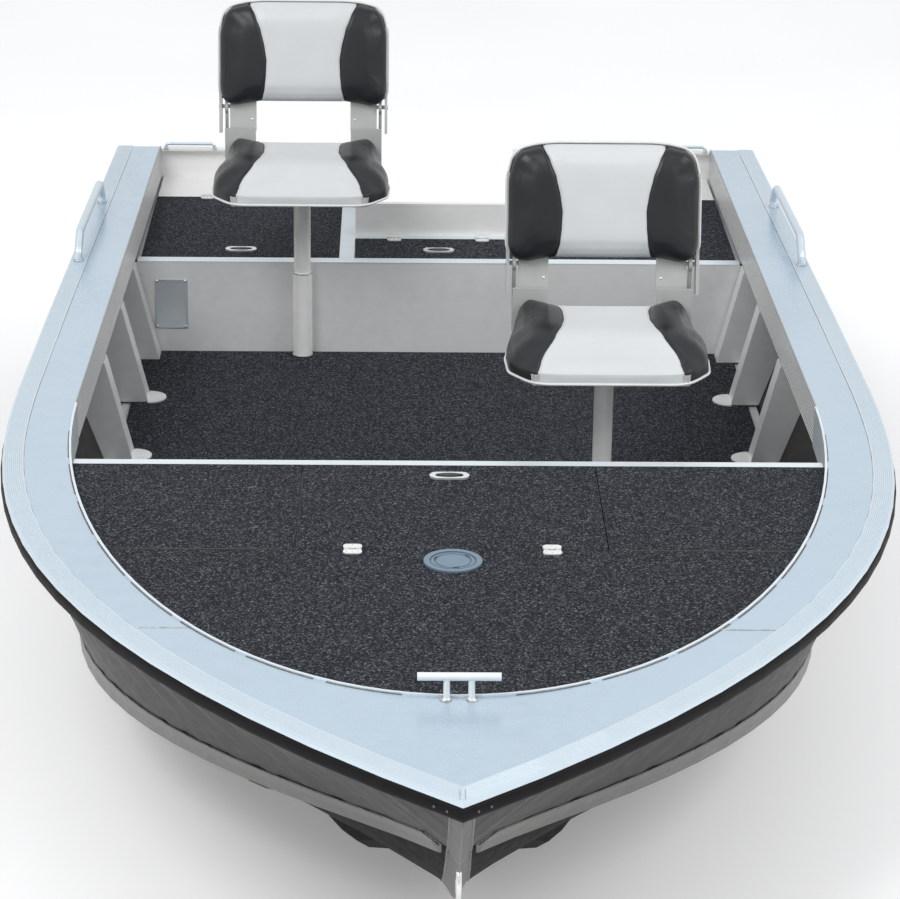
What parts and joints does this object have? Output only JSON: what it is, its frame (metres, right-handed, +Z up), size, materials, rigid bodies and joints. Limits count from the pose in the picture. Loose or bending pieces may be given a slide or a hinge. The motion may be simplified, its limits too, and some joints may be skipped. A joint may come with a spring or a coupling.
{
  "type": "aluminium fishing boat",
  "caption": "Open aluminium fishing boat with a V-bottom hull, carpeted foredeck and aft bench with lift-up lockers, a motor well and folding swivel seats on posts.",
  "frame": {"origin": "on the centreline amidships, at the waterline of the empty boat", "axes": "bow towards -Y, port towards +X, +Z up"},
  "size_m": [1.938, 4.2214, 1.2087],
  "materials": {
    "rail_aluminium": "satin, ribbed extrusion",
    "deck_aluminium": "satin plate with faint mill marks",
    "inner_aluminium": "brushed sheet with soft smudges",
    "hull_sheet": "dark grey, satin",
    "chine_metal": "weathered, with weld stitches",
    "fender_rubber": "black, satin",
    "carpet": "charcoal marine carpet with pale flecks",
    "edge_white": "bright edge strips",
    "latch_chrome": "polished",
    "hinge_white": "white",
    "access_blue": "steel blue",
    "cleat_alloy": "bright cast alloy",
    "post_steel": "brushed stainless",
    "swivel_steel": "black",
    "seat_plastic": "light grey moulding",
    "seat_vinyl": "light grey vinyl with charcoal sides and white piping",
    "eye_steel": "bright rod"
  },
  "bodies": {
    "hull": {"rail_starboard": "rail_aluminium", "rail_port": "rail_aluminium", "fender_starboard": "fender_rubber", "fender_port": "fender_rubber", "side_deck_starboard": "deck_aluminium", "side_deck_port": "deck_aluminium", "bow_plate": "deck_aluminium", "deck_lip": "edge_white", "coamings": "inner_aluminium", "side_plate_starboard": "hull_sheet", "side_plate_port": "hull_sheet", "bottom_plate_starboard": "hull_sheet", "bottom_plate_port": "hull_sheet", "chine_rail_starboard": "chine_metal", "chine_rail_port": "chine_metal", "stem_bar": "chine_metal", "bow_eye": "eye_steel", "transom": "inner_aluminium", "motor_pads": "chine_metal", "motor_well": "inner_aluminium", "side_frames": "inner_aluminium", "floor_panel": "inner_aluminium", "floor_carpet": "carpet", "inner_panels": "inner_aluminium", "foredeck_angle": "edge_white", "foredeck": "carpet", "hatch_frame": "inner_aluminium", "foredeck_hinge_leaves": "hinge_white", "access_plate": "access_blue", "bench_frame": "edge_white", "bench_shelves": "carpet", "bench_hinge_leaves": "hinge_white", "cleat": "cleat_alloy", "grab_handles": "cleat_alloy", "rear_sleeve": "post_steel", "front_socket": "post_steel", "rear_post": "post_steel", "front_post": "post_steel"},
    "hatch": {"hatch_lid": "carpet", "hatch_latch": "latch_chrome", "hatch_hinge_leaves": "hinge_white"},
    "locker_lid_starboard": {"lid_starboard": "carpet", "latch_starboard": "latch_chrome", "starboard_lid_leaves": "hinge_white"},
    "locker_lid_port": {"lid_port": "carpet", "latch_port": "latch_chrome", "port_lid_leaves": "hinge_white"},
    "locker_lid_centre": {"lid_centre": "carpet", "latch_centre": "latch_chrome", "centre_lid_leaves": "hinge_white"},
    "rear_seat": {"rear_swivel": "swivel_steel", "rear_shell": "seat_plastic", "rear_cushion": "seat_vinyl"},
    "rear_back": {"rear_back_frame": "seat_plastic", "rear_back_cushion": "seat_vinyl"},
    "front_seat": {"front_swivel": "swivel_steel", "front_shell": "seat_plastic", "front_cushion": "seat_vinyl"},
    "front_back": {"front_back_frame": "seat_plastic", "front_back_cushion": "seat_vinyl"}
  },
  "joints": [
    {"name": "hatch_hinge", "type": "hinge", "parent": "hull", "child": "hatch", "pos_m": [0, -0.972, 0.493], "axis": [1, 0, 0], "range_deg": [0, 95]},
    {"name": "locker_starboard_hinge", "type": "hinge", "parent": "hull", "child": "locker_lid_starboard", "pos_m": [0, 1.881, 0.415], "axis": [-1, 0, 0], "range_deg": [0, 18]},
    {"name": "locker_port_hinge", "type": "hinge", "parent": "hull", "child": "locker_lid_port", "pos_m": [0, 1.881, 0.415], "axis": [-1, 0, 0], "range_deg": [0, 90]},
    {"name": "locker_centre_hinge", "type": "hinge", "parent": "hull", "child": "locker_lid_centre", "pos_m": [0, 1.4707, 0.415], "axis": [-1, 0, 0], "range_deg": [0, 88]},
    {"name": "rear_seat_swivel", "type": "hinge", "parent": "hull", "child": "rear_seat", "pos_m": [-0.363, 1.2192, 0.62], "axis": [0, 0, 1], "continuous": true},
    {"name": "rear_back_fold", "type": "hinge", "parent": "rear_seat", "child": "rear_back", "pos_m": [-0.363, 1.3912, 0.797], "axis": [1, 0, 0], "range_deg": [0, 97]},
    {"name": "front_seat_swivel", "type": "hinge", "parent": "hull", "child": "front_seat", "pos_m": [0.363, 0.04, 0.548], "axis": [0, 0, 1], "continuous": true},
    {"name": "front_back_fold", "type": "hinge", "parent": "front_seat", "child": "front_back", "pos_m": [0.363, 0.212, 0.725], "axis": [1, 0, 0], "range_deg": [0, 97]}
  ]
}
